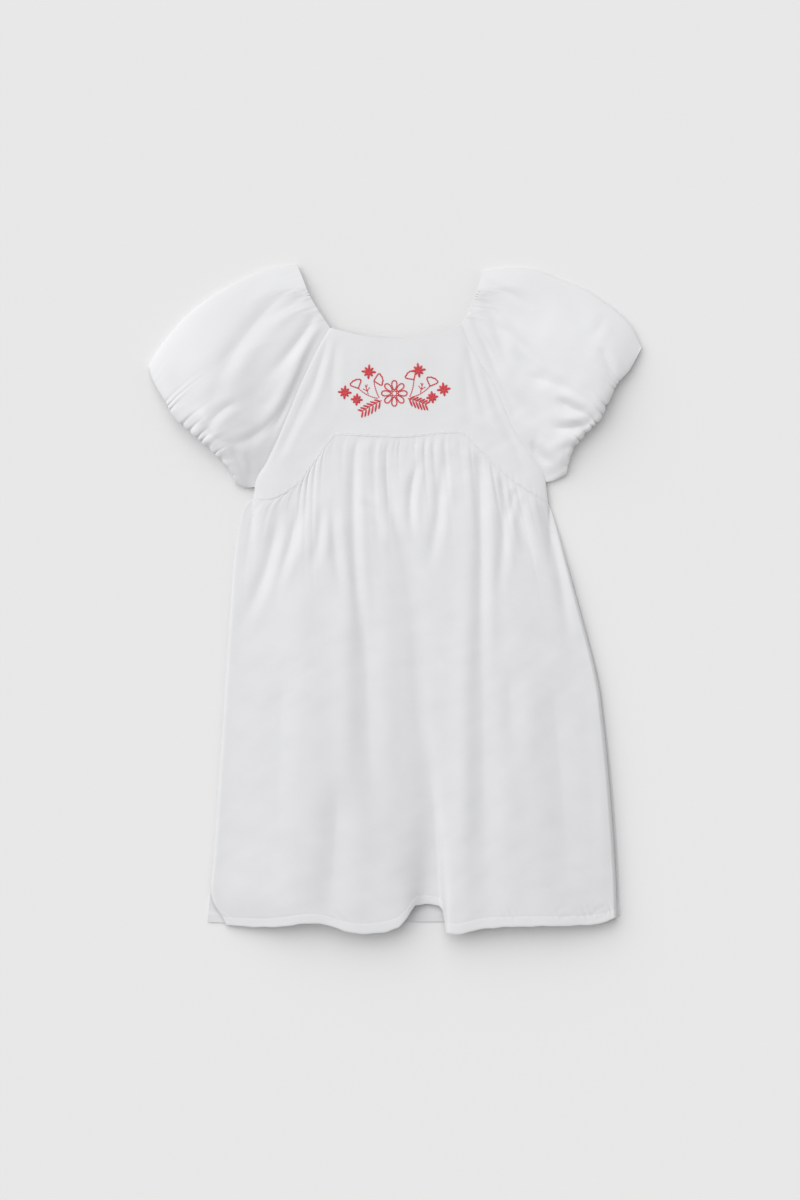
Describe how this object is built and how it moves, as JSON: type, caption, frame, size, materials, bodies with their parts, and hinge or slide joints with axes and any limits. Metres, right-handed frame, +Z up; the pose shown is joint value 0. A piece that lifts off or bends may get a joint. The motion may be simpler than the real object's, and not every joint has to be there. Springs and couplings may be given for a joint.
{
  "type": "puff sleeve dress",
  "caption": "Child's white woven dress laid flat: scooped yoke with a stitched flower spray, gathered skirt with a narrow hem, short raglan puff sleeves",
  "frame": {"origin": "centre of the dress's box on the surface it lies on", "axes": "+X to the right as seen from above with the neck away, +Y towards the neck, +Z up from the surface"},
  "size_m": [0.493, 0.6679, 0.0263],
  "materials": {
    "yoke_cloth": "white light woven cloth, matt with a faint sheen",
    "skirt_cloth": "white light woven cloth, matt with a faint sheen",
    "sleeve_cloth": "white light woven cloth, matt with a faint sheen",
    "back_cloth": "white light woven cloth, matt",
    "coral_thread": "coral red embroidery thread with a soft sheen",
    "white_thread": "white sewing thread"
  },
  "bodies": {
    "root": {"yoke_front": "yoke_cloth", "yoke_back": "back_cloth", "skirt_front": "skirt_cloth", "skirt_back": "back_cloth", "sleeve_left": "sleeve_cloth", "sleeve_right": "sleeve_cloth"}
  },
  "joints": []
}
